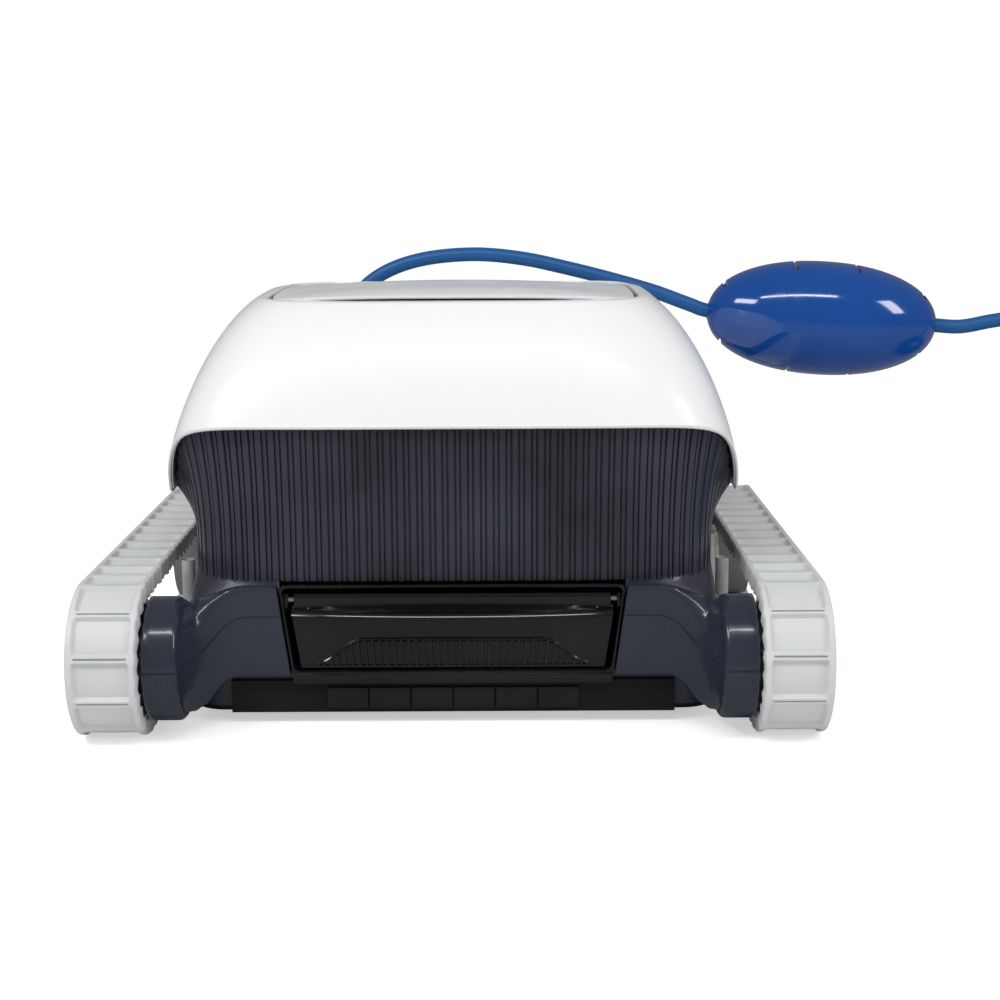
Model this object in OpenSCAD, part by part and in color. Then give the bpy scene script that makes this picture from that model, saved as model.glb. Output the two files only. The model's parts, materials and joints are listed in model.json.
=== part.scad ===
// Tracked robotic pool cleaner on a floating cable.
// +X runs across the tracks, +Y from the flap end to the brush end, +Z up.
// The origin is on the floor, under the middle of the machine.

/* [Tracks and wheels] */
// Outer radius of the track where it runs round a wheel
track_r = 41.5; // [38:0.5:44]
// Distance of each axle from the middle of the machine
axle_y = 140; // [136:1:146]
// Distance of the track's inner edge from the middle of the machine
track_in = 163; // [160:1:168]
// Width of the track
track_w = 37; // [34:1:42]
// Depth of the pockets between the track's cross bars
pocket_d = 3.3; // [2:0.1:4]
// Number of cross bars round the track
bar_count = 36; // [30:1:40]

/* [Casing] */
// Half width of the lower casing
tub_x = 148; // [144:1:149]
// Half length of the lower casing
tub_y = 124; // [118:1:124]
// Height of the line where the lower and upper casings part
part_z = 62; // [58:1:64]
// Wall thickness of the moulded shells
wall = 2.6; // [2:0.1:3]
// Half width of the hood at its lower rim
hood_x = 161.5; // [158:0.5:164]
// Half length of the hood at its lower rim
hood_y = 135.5; // [133:0.5:138]
// Height of the hood's rim above the tracks
rim_low = 121.1; // [118:0.1:126]
// Height of the hood's rim at the middle of each end
rim_high = 163.9; // [160:0.1:170]
// Height of the hood's top edge round the lid
hood_top = 228; // [226:1:230]

/* [Lid and filter] */
// Half width of the lid
lid_x = 104; // [100:0.5:107]
// Half length of the lid
lid_y = 80.6; // [78:0.2:81]
// Height of the lid's crown above its edge
lid_crown = 5; // [3:0.5:7]
// Half width of the filter basket
basket_x = 80; // [70:1:80]

/* [Brush] */
// Radius over the brush's blades
brush_r = 21.5; // [18:0.5:21.5]
// Number of blades round the brush
blade_count = 8; // [5:1:10]

/* [Cable and float] */
// Diameter of the floating cable
cable_d = 9.2; // [8:0.1:9.4]
// Length of the float
float_l = 149; // [130:1:150]
// Diameter of the float
float_d = 74; // [60:1:80]

/* [Hidden] */

$fn = 64;
run_gap = 0.05;            // radial running clearance of every pin and shaft
axle_z = track_r;
bush_r = 6;
axle_r = 4;

// belt
belt_t = 4.2;
belt_in_r = track_r - pocket_d - belt_t;
belt_mid_r = track_r - pocket_d - belt_t / 2;
belt_len = 4 * axle_y + 2 * PI * belt_mid_r;
bar_pitch = belt_len / bar_count;
bar_l = 3.4;
tooth_h = 2;
wheel_r = belt_in_r - 0.6;
wheel_in = track_in + 4;
wheel_out = wheel_in + 29;

// casing
plate_z = 6;
tub_z = 9;
arm_z = [7.5, 75.5];
boss_r = 34;
boss_x = [151, 162];
arm_face_y = 134;
arm_sweep_r = 30;
arm_sweep_x = 112;
recess_z = [28.5, 80];
recess_x = [88, 95];
recess_back = 98;
ring_n = 72;
flare_z = 92;
flare_x = 157.3;
flare_y = 124.6;
arch_y = 77.7;               // the rim starts to rise this far from the middle

// drain flap
flap_pivot = [-124, 69.5];
flap_pin_r = 2;

// drive
shaft_y = 60;
shaft_z = 52;
sprocket_r = 20.6;
sprocket_teeth = 12;
seal_r = 8;

// pump
pump_z = 110;
ring_r = 36;
impeller_r = 31.5;

// filter basket and intakes
basket_y = [-74, 16];
basket_z = [60, 207];
deck_z = 204;
port_x = 42;
port_y = -30;
port_size = [60, 24];
valve_pivot = [-14.5, 66.6];

// lid
lid_pivot = [64, 221.5];
lid_mid_y = -0.9;
lid_z = 223;
opening = [106.5, 82.5];

// brush
brush_axis = [156, 28];
brush_half = 115;
stub_r = 5;

// cable: hand-laid route from the gland, over the machine, through the float,
// and down to the coil
relief_from = [-92, 121, 186];
relief_to = [-78, 126, 206];
float_from = [166, 99, 207];
float_to = [308, 92, 198];
coil_mid = [519, 70];
coil_in_r = 63;
coil_out_r = 110;
coil_layers = 4;
route = [
    relief_to, [-64, 124, 222], [-50, 122, 232], [-32, 120, 239], [-10, 117, 243],
    [16, 114, 244], [44, 111, 241], [72, 108, 235], [100, 105, 228], [128, 102, 220],
    [150, 100, 212], float_from, [200, 97, 205], [237, 95, 203], [274, 94, 200], float_to,
    [328, 91, 197], [350, 90, 201], [372, 89, 203], [390, 86, 197], [403, 80, 181],
    [409, 66, 160], [410, 44, 134], [410, 26, 106], [410, 15, 79], [410, 18, 55],
    [410, 32, 39], [409, 51, 33], [409, 70, 32.2]
];
tail = [[629, 70, 4.6], [629, 50, 5.2], [628.5, 30, 6.5], [627.5, 12, 8], [627, -2, 9]];
plug_angle = 270;
plug_parts = [16, 26, 10];

// ---------------------------------------------------------------- helpers

// Cylinder along +X from x0 to x1, centred on (y, z)
module bar_x(r, x0, x1, y = 0, z = 0) {
    translate([x0, y, z]) rotate([0, 90, 0]) cylinder(r = r, h = x1 - x0);
}

// Cylinder along +Y from y0 to y1, centred on (x, z)
module bar_y(r, y0, y1, x = 0, z = 0) {
    translate([x, y1, z]) rotate([90, 0, 0]) cylinder(r = r, h = y1 - y0);
}

module box(x, y, z) {
    translate([x[0], y[0], z[0]]) cube([x[1] - x[0], y[1] - y[0], z[1] - z[0]]);
}

module rounded_rect(hx, hy, r) {
    square([2 * (hx - r), 2 * hy], center = true);
    square([2 * hx, 2 * (hy - r)], center = true);
    for (sx = [-1, 1], sy = [-1, 1]) translate([sx * (hx - r), sy * (hy - r)]) circle(r = r);
}

module both_sides() {
    children();
    mirror([1, 0, 0]) children();
}

// A ring of points on a squared-off oval of half sizes a and b
function oval_r(a, b, n, t) = pow(pow(abs(cos(t)) / a, n) + pow(abs(sin(t)) / b, n), -1 / n);

// Closed skin through rings of equal length; the last ring joins the first
module skin(rings) {
    m = len(rings);
    n = len(rings[0]);
    points = [for (r = rings) each r];
    faces = [for (j = [0:m - 1], i = [0:n - 1])
        let (a = j * n + i, b = j * n + (i + 1) % n, k = ((j + 1) % m) * n,
             c = k + (i + 1) % n, d = k + i)
        each [[a, d, c], [a, c, b]]];
    polyhedron(points, faces);
}

// Solid through rings, with a flat end on the first and last
module loft(rings) {
    m = len(rings);
    n = len(rings[0]);
    points = [for (r = rings) each r];
    sides = [for (j = [0:m - 2], i = [0:n - 1])
        let (a = j * n + i, b = j * n + (i + 1) % n, c = b + n, d = a + n)
        each [[a, d, c], [a, c, b]]];
    polyhedron(points, concat(sides, [[for (i = [0:n - 1]) i],
        [for (i = [n - 1:-1:0]) (m - 1) * n + i]]));
}

// Round tube along a list of points
function unit(v) = v / norm(v);
function way(p, i) = unit(p[min(i + 1, len(p) - 1)] - p[max(i - 1, 0)]);
function across(d) = unit(cross([1, 1, 1], d));
module tube(p, r, sides = 10) {
    loft([for (i = [0:len(p) - 1])
        let (d = way(p, i), u = across(way(p, i)), v = cross(d, u))
        [for (k = [0:sides - 1]) let (t = k * 360 / sides) p[i] + r * (cos(t) * u + sin(t) * v)]]);
}

// Point [y, z] at a distance s along the belt and r out from the wheels' centres
function belt_point(s, r) =
    let (run = 2 * axle_y, turn = PI * belt_mid_r, back = s - run - turn)
    s < run ? [s - axle_y, axle_z + r]
    : back < 0 ? turn_point(1, (s - run) / belt_mid_r, r)
    : back < run ? [axle_y - back, axle_z - r]
    : turn_point(-1, (back - run) / belt_mid_r, r);
function turn_point(end, angle, r) =
    let (t = angle * 180 / PI)
    [end * (axle_y + r * sin(t)), axle_z + end * r * cos(t)];

// Closed outline round the belt; marks gives [distance, radius] within one pitch
function belt_outline(pitch, marks) =
    [for (i = [0:round(belt_len / pitch) - 1], m = marks) belt_point(i * pitch + m[0], m[1])];

// ---------------------------------------------------------------- casing

// Height of the hood's rim at a distance y from the middle
function rim_z(y) =
    let (s = max(0, min(1, (abs(y) - arch_y) / (128 - arch_y))))
    rim_low + (rim_high - rim_low) * pow(1 - (1 - s) * (1 - s), 0.88);

// The hood narrows from its rim to its top like a quarter of a squared-off oval
function narrowing(z) =
    let (u = max(0, min(0.999, (z - 128) / 103))) pow(1 - pow(u, 1.6), 0.625);
function hood_a(z) = 105.4 + (hood_x - 105.4) * narrowing(z);
function hood_b(z) = 83.5 + (hood_y - 83.5) * narrowing(z);

function hood_ring(k, inset) = [for (i = [0:ring_n - 1])
    let (t = i * 360 / ring_n,
         z0 = rim_z(oval_r(hood_x, 130, 4.5, t) * sin(t)),
         z = z0 + (hood_top - z0 - inset) * k,
         r = oval_r(hood_a(z) - inset, hood_b(z) - inset, 6.7 - 2.6 * k, t))
    [r * cos(t), r * sin(t), z]];
function opening_ring(z, grow = 0) = [for (i = [0:ring_n - 1])
    let (t = i * 360 / ring_n, r = oval_r(opening[0] + grow, opening[1] + grow, sin(t) > 0 ? 7 : 5.5, t))
    [r * cos(t), r * sin(t), z]];
hood_steps = [0, 0.2, 0.4, 0.6, 0.75, 0.87, 0.95, 1];

module hood() {
    color("white")
    skin(concat(
        [for (k = hood_steps) hood_ring(k, 0)],
        [opening_ring(hood_top + 0.6, 1), opening_ring(hood_top - 0.4), opening_ring(hood_top - 3)],
        [for (i = [len(hood_steps) - 1:-1:0]) hood_ring(hood_steps[i], wall)]));
}

function ease(u) = let (c = max(0, min(1, u))) c * c * (3 - 2 * c);

// The upper hull stands straight, then flares out like a trumpet over the tracks. Its corners
// are sharp where it meets the tub, and open out quickly behind the arms' tops.
function hull_squareness(z) =
    12 - 6.2 * ease((z - part_z) / 18);
function hull_ring(k, inset) = [for (i = [0:ring_n - 1])
    let (t = i * 360 / ring_n,
         top = rim_z(oval_r(hood_x, 130, 4.5, t) * sin(t)) + 0.8,
         z = part_z + (top - part_z) * k,
         f = pow(max(0, (z - flare_z) / (top - flare_z)), 2.2),
         r = oval_r(tub_x + (flare_x - tub_x) * f - inset, tub_y + (flare_y - tub_y) * f - inset,
                    hull_squareness(z), t))
    [r * cos(t), r * sin(t), z]];
hull_steps = [0, 0.09, 0.18, 0.35, 0.52, 0.66, 0.78, 0.9, 1];

module recess_opening(grow = 0) {
    translate([0, -recess_back, 0]) rotate([90, 0, 0]) linear_extrude(60)
        polygon([[-recess_x[0] - grow, recess_z[0] - grow], [recess_x[0] + grow, recess_z[0] - grow],
                 [recess_x[1] + grow, recess_z[1] + grow], [-recess_x[1] - grow, recess_z[1] + grow]]);
}

module upper_hull() {
    color("slategray")
    difference() {
        skin(concat([for (k = hull_steps) hull_ring(k, 0)],
            [for (i = [len(hull_steps) - 1:-1:0]) hull_ring(hull_steps[i], wall)]));
        recess_opening();
        bar_y(ring_r - 2, tub_y - 12, tub_y + 12, 0, pump_z);
    }
}

module lower_tub() {
    color("slategray")
    difference() {
        translate([0, 0, tub_z]) linear_extrude(part_z - tub_z) difference() {
            rounded_rect(tub_x, tub_y, 22);
            rounded_rect(tub_x - 3, tub_y - 3, 19);
        }
        recess_opening();
        both_sides() bar_x(seal_r, tub_x - 8, tub_x + 4, shaft_y, shaft_z);
    }
}

module port_hole(grow, z) {
    both_sides()
        translate([port_x, port_y, z[0]]) linear_extrude(z[1] - z[0])
            square([port_size[0] + 2 * grow, port_size[1] + 2 * grow], center = true);
}

module bottom_plate() {
    lip_x = 122;
    color("dimgray")
    difference() {
        union() {
            translate([0, 0, plate_z]) linear_extrude(tub_z - plate_z)
                rounded_rect(tub_x - 2, tub_y - 2, 20);
            for (s = [-1, 1]) {
                translate([-lip_x, s > 0 ? 100 : -tub_y - 3, plate_z])
                    cube([2 * lip_x, tub_y - 97, tub_z - plate_z]);
                translate([-lip_x, s > 0 ? tub_y + 0.3 : -tub_y - 3, plate_z]) cube([2 * lip_x, 2.7, 18]);
            }
            port_hole(2, [tub_z - 1, basket_z[0] - 0.5]);
        }
        port_hole(0, [0, basket_z[0] + 4]);
        for (p = base_screw_places) translate([p[0], p[1], 0]) cylinder(r = 2, h = 20);
    }
}

base_screw_places = [[-112, -80], [112, -80], [-112, 80], [112, 80]];
module base_screws() {
    color("silver")
    for (p = base_screw_places) translate([p[0], p[1], 0]) {
        translate([0, 0, plate_z - 2]) cylinder(r = 4, h = 2);
        translate([0, 0, plate_z - 1]) cylinder(r = 2, h = 12);
    }
}

// One hollow-sided arm that carries a wheel, drawn for the front right corner
module arm_shape() {
    sweep_y = arm_face_y + arm_sweep_r;
    bore_x = 142;
    difference() {
        union() {
            bar_x(boss_r, boss_x[0], boss_x[1], -axle_y, axle_z);
            intersection() {
                linear_extrude(100) polygon(concat(
                    [[96, -tub_y - 0.3], [96, -arm_face_y]],
                    [for (t = [90:-10:0])
                        [arm_sweep_x + arm_sweep_r * cos(t), -sweep_y + arm_sweep_r * sin(t)]],
                    [[143, -axle_y - 31], [147, -axle_y - 34], [boss_x[0], -axle_y - 34],
                     [boss_x[0], -tub_y - 0.3]]));
                translate([0, -100, 0]) rotate([90, 0, 0]) linear_extrude(100) polygon(concat(
                    [[96, arm_z[1]], [96, recess_z[0]]],
                    [for (t = [90:-10:20])
                        [arm_sweep_x + arm_sweep_r * cos(t), -1.5 + arm_sweep_r * sin(t)]],
                    [[boss_x[0], arm_z[0]], [boss_x[0], arm_z[1]]]));
                union() {
                    bar_x(boss_r, 90, boss_x[0], -axle_y, axle_z);
                    box([90, boss_x[0]], [-axle_y, -tub_y], arm_z);
                }
            }
        }
        bar_x(axle_r, bore_x, boss_x[1] + 1, -axle_y, axle_z);
    }
}
module rear_arm_shape() {
    difference() {
        mirror([0, 1, 0]) arm_shape();
        bar_x(stub_r, 136, 146, brush_axis[0], brush_axis[1]);
    }
}
module arm_front_right() { color("darkslategray") arm_shape(); }
module arm_front_left() { color("darkslategray") mirror([1, 0, 0]) arm_shape(); }
module arm_rear_right() { color("darkslategray") rear_arm_shape(); }
module arm_rear_left() { color("darkslategray") mirror([1, 0, 0]) rear_arm_shape(); }

module recess_housing() {
    front = 132;
    difference() {
        color("black") intersection() {
            recess_opening(-0.4);
            box([-100, 100], [-front, -recess_back], [20, 90]);
        }
        color("black") intersection() {
            recess_opening(-2.4);
            box([-100, 100], [-front - 5, -recess_back - 2], [20, 90]);
        }
        box([-60, 60], [-recess_back - 5, -recess_back + 5], [36, 60]);
        bar_x(flap_pin_r, -93.5, 93.5, flap_pivot[0], flap_pivot[1]);
    }
}

module drain_flap() {
    lip_r = 307;
    color("black")
    difference() {
        union() {
            translate([0, -125, 0]) rotate([90, 0, 0]) linear_extrude(3)
                polygon([[-83, 31.5], [83, 31.5], [88.5, 66], [-88.5, 66]]);
            bar_x(4, -85, 85, flap_pivot[0], flap_pivot[1]);
            intersection() {
                translate([0, lip_r - 139, 61.5]) cylinder(r = lip_r, h = 3, $fn = 180);
                box([-82, 82], [-140, -126], [60, 66]);
            }
        }
        bar_x(flap_pin_r + run_gap, -95, 95, flap_pivot[0], flap_pivot[1]);
    }
}

module drain_flap_pin() {
    color("silver") bar_x(flap_pin_r, -93, 93, flap_pivot[0], flap_pivot[1]);
}

module wiper_flaps() {
    pitch = 23.2;
    color("black")
    for (i = [0:5])
        translate([(i - 2.5) * pitch - 11.3, -tub_y - 5, 8.5]) cube([22.6, 2, 12]);
}

module side_cover() {
    color("lightgray")
    difference() {
        union() {
            box([tub_x + 0.2, boss_x[0]], [-86, 86], [16, 58]);
            for (y = [-62, 6]) {
                translate([155, y, 30]) cylinder(r = 3.8, h = 70);
                box([150, 155], [y - 2, y + 2], [34, 56]);
            }
        }
        bar_x(seal_r + 2, tub_x - 2, boss_x[0] + 2, shaft_y, shaft_z);
    }
}
module side_cover_right() { side_cover(); }
module side_cover_left() { mirror([1, 0, 0]) side_cover(); }

// ---------------------------------------------------------------- tracks and wheels

// A slice of the belt from x0 to x1, between an outer and an inner outline
module belt_slice(x0, x1, outer, inner) {
    translate([x0, 0, 0]) rotate([90, 0, 90]) linear_extrude(x1 - x0) difference() {
        polygon(outer);
        polygon(inner);
    }
}

// Rims along both edges, cross bars with sunk pockets between them, and a
// row of drive teeth inside the inner edge
module track() {
    p = bar_pitch;
    low = track_r - pocket_d;
    rim_w = 5.3;
    tooth_w = 3;
    x = [track_in, track_in + tooth_w, track_in + rim_w, track_in + track_w - rim_w, track_in + track_w];
    rim = belt_outline(p, [for (k = [0:3]) [k * p / 4, track_r]]);
    bars = belt_outline(p, concat([[0, track_r], [bar_l, track_r]],
        [for (k = [0:4]) [bar_l + 0.3 + k * (p - bar_l - 0.6) / 4, low]]));
    plain = belt_outline(p, [for (k = [0:3]) [k * p / 4, belt_in_r]]);
    toothed = belt_outline(p / 2, [[0, belt_in_r], [p / 4, belt_in_r],
        [p / 4 + 0.6, belt_in_r - tooth_h], [p / 2 - 1.2, belt_in_r - tooth_h]]);
    belt_slice(x[0], x[1], rim, toothed);
    belt_slice(x[1], x[2], rim, plain);
    belt_slice(x[2], x[3], bars, plain);
    belt_slice(x[3], x[4], rim, plain);
}
module track_right() { color("gainsboro") track(); }
module track_left() { color("gainsboro") mirror([1, 0, 0]) track(); }

module wheel(y) {
    rim = 4;
    color("gray")
    translate([0, y, axle_z]) difference() {
        rotate([0, 90, 0]) rotate_extrude() polygon([
            [bush_r, wheel_in + 1], [12, wheel_in + 1], [12, wheel_in + 11],
            [wheel_r - rim, wheel_in + 11], [wheel_r - rim, wheel_in], [wheel_r, wheel_in],
            [wheel_r, wheel_out], [wheel_r - rim, wheel_out], [wheel_r - rim, wheel_in + 16],
            [12, wheel_in + 16], [12, wheel_out - 1], [bush_r, wheel_out - 1]]);
        for (k = [0:5]) rotate([60 * k, 0, 0]) bar_x(5.5, track_in, wheel_out + 5, 20.5, 0);
    }
}
module wheel_front_right() { wheel(-axle_y); }
module wheel_rear_right() { wheel(axle_y); }
module wheel_front_left() { mirror([1, 0, 0]) wheel(-axle_y); }
module wheel_rear_left() { mirror([1, 0, 0]) wheel(axle_y); }

module bush(y) {
    color("ivory") difference() {
        bar_x(bush_r, wheel_in + 1, wheel_out - 1, y, axle_z);
        bar_x(axle_r + run_gap, wheel_in, wheel_out, y, axle_z);
    }
}
module bush_front_right() { bush(-axle_y); }
module bush_rear_right() { bush(axle_y); }
module bush_front_left() { mirror([1, 0, 0]) bush(-axle_y); }
module bush_rear_left() { mirror([1, 0, 0]) bush(axle_y); }

module wheel_axles() {
    color("silver")
    both_sides() for (y = [-axle_y, axle_y]) {
        bar_x(axle_r, 142, wheel_out + 0.2, y, axle_z);
        bar_x(6.5, boss_x[1], wheel_in, y, axle_z);
    }
}

module axle_screws() {
    color("silver")
    both_sides() for (y = [-axle_y, axle_y]) {
        bar_x(10, wheel_out + 0.2, wheel_out + 1.4, y, axle_z);
        bar_x(5, wheel_out + 1.4, wheel_out + 3.4, y, axle_z);
    }
}

// ---------------------------------------------------------------- drive

module drive_sprocket() {
    root_r = sprocket_r - 3;
    difference() {
        union() {
            bar_x(root_r, track_in - 3, track_in + 3.5, shaft_y, shaft_z);
            translate([0, shaft_y, shaft_z]) for (k = [0:sprocket_teeth - 1])
                rotate([k * 360 / sprocket_teeth, 0, 0])
                    translate([track_in - 2, -1.7, root_r - 1]) cube([5, 3.4, 3.9]);
        }
        bar_x(axle_r, track_in - 5, track_in + 5, shaft_y, shaft_z);
    }
}
module drive_sprocket_right() { color("dimgray") drive_sprocket(); }
module drive_sprocket_left() { color("dimgray") mirror([1, 0, 0]) drive_sprocket(); }

module drive_shaft() { bar_x(axle_r, 42, track_in + 5, shaft_y, shaft_z); }
module drive_shaft_right() { color("silver") drive_shaft(); }
module drive_shaft_left() { color("silver") mirror([1, 0, 0]) drive_shaft(); }

module shaft_seals() {
    color("black")
    both_sides() difference() {
        bar_x(seal_r, tub_x - 4, tub_x + 1, shaft_y, shaft_z);
        bar_x(axle_r + run_gap, tub_x - 5, tub_x + 2, shaft_y, shaft_z);
    }
}

motor_x = 70;
motor_y = [30, 112];
motor_z = [12, 66];
module motor_housing() {
    color("gray")
    difference() {
        box([-motor_x, motor_x], motor_y, motor_z);
        box([-motor_x + wall, motor_x - wall], motor_y + [wall, -wall], motor_z + [wall, 5]);
        both_sides() bar_x(axle_r + 0.3, motor_x - 6, motor_x + 2, shaft_y, shaft_z);
    }
}
module motor_cover() {
    color("dimgray") box([-motor_x, motor_x], motor_y, [motor_z[1], motor_z[1] + 3]);
}
module drive_motors() {
    color("silver")
    both_sides() difference() {
        bar_x(13, 6, 56, shaft_y, shaft_z);
        bar_x(axle_r + run_gap, 41, 57, shaft_y, shaft_z);
    }
}
module control_board() {
    color("green") box([-58, 58], [84, 106], [18, 20]);
    color("black") for (x = [-40, -12, 20, 44]) box([x - 6, x + 6], [90, 100], [20, 23]);
}

module pump_motor() {
    color("silver") difference() {
        bar_y(20, 28, 84, 0, pump_z);
        bar_y(3 + run_gap, 70, 85, 0, pump_z);
    }
}
module impeller_shaft() { color("silver") bar_y(3, 71, 112, 0, pump_z); }
module impeller() {
    color("ivory")
    difference() {
        union() {
            bar_y(8, 92, 112, 0, pump_z);
            intersection() {
                bar_y(impeller_r, 92, 112, 0, pump_z);
                translate([0, 102, pump_z]) for (k = [0:4]) rotate([0, 72 * k, 0])
                    rotate([0, 0, 55]) translate([-9, -1.2, 5]) cube([18, 2.4, 30]);
            }
        }
        bar_y(3, 90, 114, 0, pump_z);
    }
}
module impeller_ring() {
    color("gray") difference() {
        bar_y(ring_r, 86, 118, 0, pump_z);
        bar_y(ring_r - 3, 85, 119, 0, pump_z);
    }
}
module outlet_grille() {
    color("black") difference() {
        bar_y(ring_r - 2.4, 118.4, 126, 0, pump_z);
        bar_y(ring_r - 5.5, 117, 122, 0, pump_z);
        for (x = [-24:8:24]) let (h = sqrt(pow(ring_r - 6, 2) - x * x))
            box([x - 2.6, x + 2.6], [115, 130], [pump_z - h, pump_z + h]);
    }
}

// ---------------------------------------------------------------- deck, floats and filter

module inner_deck() {
    color("gray") {
        difference() {
            translate([0, 0, deck_z]) linear_extrude(3) difference() {
                rounded_rect(118, 99, 25);
                translate([-basket_x - 1, basket_y[0] - 1])
                    square([2 * basket_x + 2, basket_y[1] - basket_y[0] + 2]);
            }
            box([-106, 106], [lid_pivot[0], lid_pivot[0] + 11], [deck_z - 1, deck_z + 4]);
        }
        for (p = base_screw_places) translate([p[0], p[1], 0]) difference() {
            translate([0, 0, tub_z]) cylinder(r = 5, h = deck_z - tub_z);
            cylinder(r = 2, h = tub_z + 9);
        }
        both_sides() difference() {
            union() {
                box([72, 78], lid_pivot[0] + [-3, 3], [deck_z + 2, lid_pivot[1]]);
                bar_x(3, 72, 78, lid_pivot[0], lid_pivot[1]);
            }
            bar_x(2, 70, 80, lid_pivot[0], lid_pivot[1]);
        }
    }
}

module foam_blocks() {
    color("whitesmoke") both_sides() box([118, 138], [-62, 62], [100, 185]);
}

module filter_frame() {
    post = 6;
    x = basket_x;
    y = basket_y;
    z = basket_z;
    color("dodgerblue")
    difference() {
        union() {
            box([-x, x], y, [z[0], z[0] + 3]);
            for (px = [-x, -3, x - post], py = [y[0], y[1] - post])
                box([px, px + post], [py, py + post], z);
            for (px = [-x, x - post], py = [-45, -13])
                box([px, px + post], [py, py + post], z);
            difference() {
                translate([0, (y[0] + y[1]) / 2, z[1]]) linear_extrude(2)
                    rounded_rect(x + 3, (y[1] - y[0]) / 2 + 3, 12);
                box([-x + post, x - post], [y[0] + post, y[1] - post], [z[1] - 1, z[1] + 3]);
            }
            both_sides() for (s = [-1, 1])
                box([port_x + s * 24.5 - 2.5, port_x + s * 24.5 + 2.5], [-17, -12],
                    [z[0] + 2, valve_pivot[1] + 2.5]);
        }
        port_hole(0, [z[0] - 1, z[0] + 4]);
        bar_x(1.5, -x, x, valve_pivot[0], valve_pivot[1]);
    }
}

// Fine screen that lines the inside of the basket frame
module filter_mesh() {
    x = basket_x - 6;
    y = basket_y + [6, -6];
    difference() {
        color("lightsteelblue") box([-x, x], y, [basket_z[0] + 3, basket_z[1]]);
        box([-x + 0.8, x - 0.8], y + [0.8, -0.8], [basket_z[0], basket_z[1] + 1]);
    }
}

module intake_flap() {
    color("black")
    difference() {
        union() {
            box([port_x - 31, port_x + 31], [-44, -18], [63.4, 65.2]);
            box([port_x - 20, port_x + 20], [-18.5, valve_pivot[0]], [64.2, 66]);
            bar_x(2.6, port_x - 20, port_x + 20, valve_pivot[0], valve_pivot[1]);
        }
        bar_x(1.5 + run_gap, port_x - 30, port_x + 30, valve_pivot[0], valve_pivot[1]);
    }
}
module intake_flap_right() { intake_flap(); }
module intake_flap_left() { mirror([1, 0, 0]) intake_flap(); }
module intake_flap_pins() {
    color("silver") both_sides() bar_x(1.5, port_x - 27, port_x + 27, valve_pivot[0], valve_pivot[1]);
}

// ---------------------------------------------------------------- lid

function lid_outline() = [for (i = [0:ring_n - 1])
    let (t = i * 360 / ring_n, r = oval_r(lid_x, lid_y, sin(t) > 0 ? 6 : 5.5, t))
    [r * cos(t), r * sin(t) + lid_mid_y]];

// Flat underneath, crowned from front to back on top
module lid() {
    edge_t = 3;
    half = lid_y + 1;
    color("lightgray")
    difference() {
        union() {
            intersection() {
                translate([0, 0, lid_z]) linear_extrude(edge_t + lid_crown + 1) polygon(lid_outline());
                translate([-110, lid_mid_y, lid_z]) rotate([90, 0, 90]) linear_extrude(220)
                    polygon(concat([[-half, 0], [half, 0]],
                        [for (k = [1:-0.125:-1]) [half * k, edge_t + lid_crown * (1 - k * k)]]));
            }
            both_sides() bar_x(3.2, 56, 70.5, lid_pivot[0], lid_pivot[1]);
        }
        both_sides() box([71, 79], [lid_pivot[0] - 5, 81], [lid_z - 1, lid_z + 2]);
        bar_x(2 + run_gap, -90, 90, lid_pivot[0], lid_pivot[1]);
    }
}
module lid_pin() { color("silver") bar_x(2, -79, 79, lid_pivot[0], lid_pivot[1]); }

// ---------------------------------------------------------------- brush

module brush_core() {
    color("dimgray") difference() {
        bar_x(9, -brush_half, brush_half, brush_axis[0], brush_axis[1]);
        bar_x(stub_r + run_gap, -brush_half - 1, brush_half + 1, brush_axis[0], brush_axis[1]);
    }
}
module brush_blades() {
    sleeve_r = 11;
    half = brush_half - 2;
    color("gold")
    translate([0, brush_axis[0], brush_axis[1]]) difference() {
        union() {
            bar_x(sleeve_r, -half, half);
            intersection() {
                bar_x(brush_r, -half, half);
                for (k = [0:blade_count - 1]) rotate([k * 360 / blade_count, 0, 0])
                    translate([-half, -1.2, sleeve_r - 1]) cube([2 * half, 2.4, 20]);
            }
        }
        bar_x(9, -half - 1, half + 1);
    }
}
module brush_bearings() {
    color("ivory")
    both_sides() {
        bar_x(stub_r, brush_half - 12, 145, brush_axis[0], brush_axis[1]);
        bar_x(8, brush_half + 1, brush_half + 4, brush_axis[0], brush_axis[1]);
    }
}

// ---------------------------------------------------------------- cable

// Nut and tapered strain relief, in line with the start of the cable
module cable_gland() {
    d = unit(relief_to - relief_from);
    color("dimgray")
    translate(relief_from) rotate([0, acos(d[2]), atan2(d[1], d[0])]) {
        translate([0, 0, -6]) cylinder(r = 10, h = 10);
        cylinder(r1 = 8.5, r2 = 5.4, h = norm(relief_to - relief_from));
    }
}

module cable() {
    color("royalblue") {
        tube(route, cable_d / 2);
        tube(tail, cable_d / 2);
    }
}

module cable_coil() {
    color("royalblue")
    translate([coil_mid[0], coil_mid[1], 0]) rotate_extrude($fn = 96)
        translate([coil_in_r - cable_d / 2, 0])
            square([coil_out_r - coil_in_r + cable_d, coil_layers * cable_d]);
}

module cable_plug() {
    end = tail[len(tail) - 1];
    color("black")
    translate(end) rotate([0, 90, plug_angle]) {
        cylinder(r1 = 5.2, r2 = 7, h = plug_parts[0]);
        translate([0, 0, plug_parts[0]]) cylinder(r = 9, h = plug_parts[1]);
        translate([0, 0, plug_parts[0] + plug_parts[1]]) cylinder(r = 7, h = plug_parts[2]);
    }
}

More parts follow.
